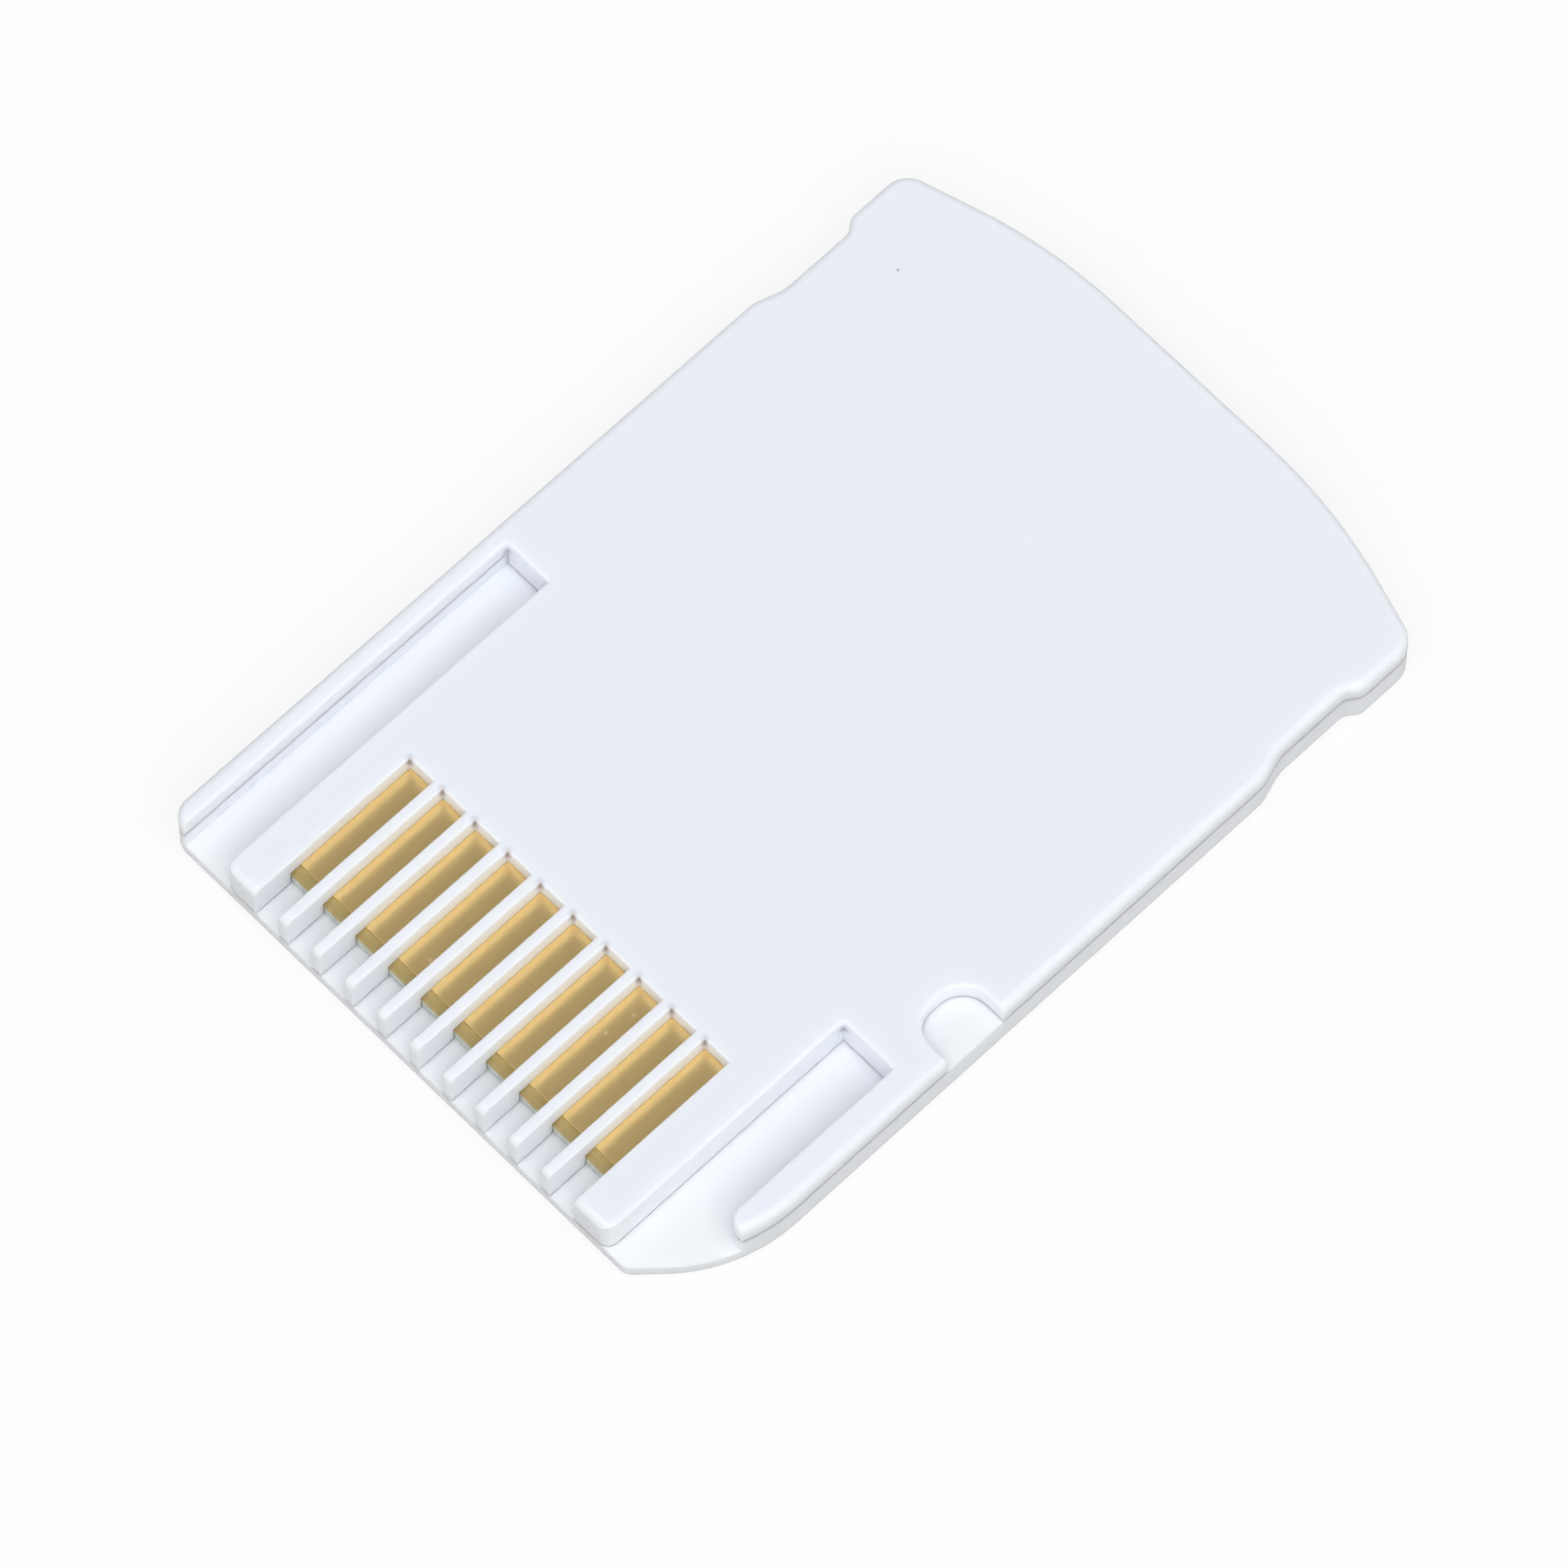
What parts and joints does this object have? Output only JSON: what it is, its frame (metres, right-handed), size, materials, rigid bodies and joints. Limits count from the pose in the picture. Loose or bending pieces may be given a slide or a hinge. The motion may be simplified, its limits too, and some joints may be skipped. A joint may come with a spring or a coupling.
{
  "type": "memory card adapter",
  "caption": "Flat white carrier in a game card's format, with recessed gold edge contacts, side grip notches and a microSD socket on its label side.",
  "frame": {"origin": "middle of the card's footprint, on the label face that it rests on", "axes": "+Z towards the contact side, +Y towards the bowed end, +X towards the chamfered side"},
  "size_m": [0.022, 0.0322, 0.0021],
  "materials": {
    "white_abs": "moulded ABS, fine satin surface",
    "board_laminate": "glass-fibre board with a pale solder mask",
    "gold_plating": "gold plated over nickel and copper",
    "black_lcp": "black moulded liquid-crystal polymer",
    "stamped_steel": "stamped stainless sheet, faint rolling grain",
    "phosphor_bronze": "gold-flashed phosphor bronze strip",
    "capacitor_ceramic": "fired ceramic chip",
    "resistor_ceramic": "glazed ceramic chip"
  },
  "bodies": {
    "root": {"back_cover": "white_abs", "front_cover": "white_abs", "circuit_board": "board_laminate", "contact_pad_01": "gold_plating", "contact_pad_02": "gold_plating", "contact_pad_03": "gold_plating", "contact_pad_04": "gold_plating", "contact_pad_05": "gold_plating", "contact_pad_06": "gold_plating", "contact_pad_07": "gold_plating", "contact_pad_08": "gold_plating", "contact_pad_09": "gold_plating", "contact_pad_10": "gold_plating", "socket_housing": "black_lcp", "socket_shield": "stamped_steel", "socket_contact_1": "phosphor_bronze", "socket_contact_2": "phosphor_bronze", "socket_contact_3": "phosphor_bronze", "socket_contact_4": "phosphor_bronze", "socket_contact_5": "phosphor_bronze", "socket_contact_6": "phosphor_bronze", "socket_contact_7": "phosphor_bronze", "socket_contact_8": "phosphor_bronze", "card_detect_spring": "phosphor_bronze", "capacitor_1": "capacitor_ceramic", "capacitor_2": "capacitor_ceramic", "resistor_1": "resistor_ceramic", "resistor_2": "resistor_ceramic", "resistor_3": "resistor_ceramic"}
  },
  "joints": []
}
